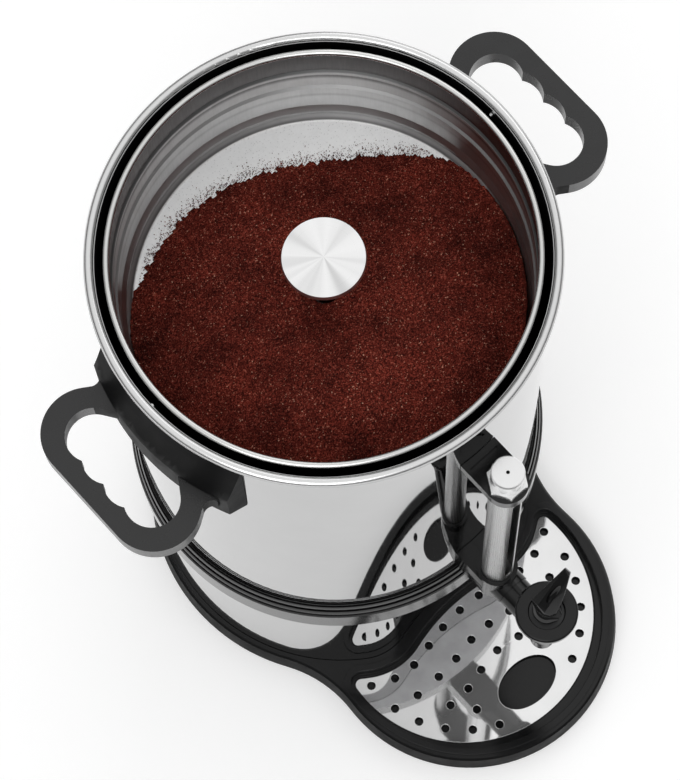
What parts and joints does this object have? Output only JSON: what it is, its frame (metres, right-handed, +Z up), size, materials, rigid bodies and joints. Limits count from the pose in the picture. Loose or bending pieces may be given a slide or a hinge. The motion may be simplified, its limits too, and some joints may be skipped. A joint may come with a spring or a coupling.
{
  "type": "coffee urn",
  "caption": "Percolating coffee urn: steel tank with lift-out brew basket, loop handles, front sight gauge, self-closing lever tap and removable drip tray.",
  "frame": {"origin": "on the standing surface, midway between the front of the drip tray and the back of the base, on the plane of symmetry", "axes": "+Z up; -Y to the front, where the tap and the drip tray are; +X to the right as seen from the front"},
  "size_m": [0.4148, 0.4136, 0.569],
  "materials": {
    "polished_steel": "polished sheet steel with a near-mirror shine",
    "mirror_steel": "mirror-polished plate",
    "black_gloss": "glossy black moulding",
    "black_satin": "satin black moulding",
    "fastener_steel": "bright fasteners",
    "zinc_plate": "zinc-plated sheet",
    "foot_rubber": "soft matt rubber",
    "silicone": "pale silicone",
    "heater_aluminium": "cast heater plate",
    "element_sheath": "heat-darkened sheath",
    "white_plastic": "off-white heat-proof plastic",
    "red_plastic": "translucent red rocker",
    "amber_plastic": "amber lamp lens",
    "brushed_aluminium": "satin turned metal",
    "gauge_glass": "clear tube",
    "coffee": "coarse dark reddish-brown ground coffee"
  },
  "bodies": {
    "housing": {"base": "black_gloss", "feet": "foot_rubber", "base_cover": "zinc_plate", "cover_screws": "fastener_steel", "skirt": "polished_steel", "belt_ring": "black_gloss", "tank": "polished_steel", "tie_rods": "fastener_steel", "tie_nuts": "fastener_steel", "lid_pins": "fastener_steel", "heater_plate": "heater_aluminium", "heating_element": "element_sheath", "thermostat": "white_plastic", "thermal_cutout": "black_satin", "terminal_block": "white_plastic", "cord_gland": "black_satin", "switch_bezel": "black_satin", "lamp_bezels": "black_satin", "lamp_lenses": "amber_plastic", "handle_left": "black_gloss", "handle_right": "black_gloss", "handle_screws": "fastener_steel", "handle_seals": "silicone", "gauge_bracket": "black_gloss", "gauge_block": "black_gloss", "gauge_sleeve": "polished_steel", "gauge_glass": "gauge_glass", "gauge_seals": "silicone", "gauge_cap": "brushed_aluminium", "bracket_screw": "fastener_steel", "outlet_nut": "fastener_steel", "outlet_washer": "silicone", "tap_body": "black_gloss", "tap_bonnet": "black_gloss", "tap_spring": "fastener_steel"},
    "rocker": {"switch_rocker": "red_plastic"},
    "pan": {"drip_pan": "black_gloss"},
    "grate": {"drip_grate": "mirror_steel"},
    "riser": {"riser_tube": "polished_steel"},
    "basket": {"filter_basket": "polished_steel", "ground_coffee": "coffee"},
    "spreader": {"spray_cap": "brushed_aluminium"},
    "swivel": {"wear_ring": "black_satin"},
    "stem": {"tap_stem": "fastener_steel", "seat_cup": "silicone", "lever_pin": "fastener_steel"},
    "lever": {"tap_lever": "black_gloss"}
  },
  "joints": [
    {"name": "power_switch", "type": "hinge", "parent": "housing", "child": "rocker", "pos_m": [0.12972, -0.00196, 0.096], "axis": [0.4067, 0.9135, 0], "range_deg": [0, 14]},
    {"name": "pan_lift", "type": "slide", "parent": "housing", "child": "pan", "axis": [0, 0, 1], "range_m": [0, 0.05]},
    {"name": "grate_lift", "type": "slide", "parent": "pan", "child": "grate", "axis": [0, 0, 1], "range_m": [0, 0.05]},
    {"name": "riser_lift", "type": "slide", "parent": "housing", "child": "riser", "axis": [0, 0, 1], "range_m": [0, 0.37]},
    {"name": "basket_lift", "type": "slide", "parent": "riser", "child": "basket", "axis": [0, 0, 1], "range_m": [0, 0.1]},
    {"name": "spreader_lift", "type": "slide", "parent": "basket", "child": "spreader", "axis": [0, 0, 1], "range_m": [0, 0.05]},
    {"name": "lever_swivel", "type": "hinge", "parent": "housing", "child": "swivel", "pos_m": [0, -0.1648, 0.278], "axis": [0, 0, 1], "range_deg": [-247, 43]},
    {"name": "stem_lift", "type": "slide", "parent": "swivel", "child": "stem", "axis": [0, 0, 1], "range_m": [0, 0.00201], "deforming": ["tap_spring"]},
    {"name": "lever_tilt", "type": "hinge", "parent": "stem", "child": "lever", "pos_m": [0, -0.1648, 0.29], "axis": [-0.2079, 0.9781, 0], "range_deg": [0, 35], "stiffness_Nm_per_rad": 0.04, "springref_deg": -74.48}
  ],
  "couplings": [
    {"joint": "lever_tilt", "follows": "stem_lift", "rad_per_m": 304.29}
  ]
}
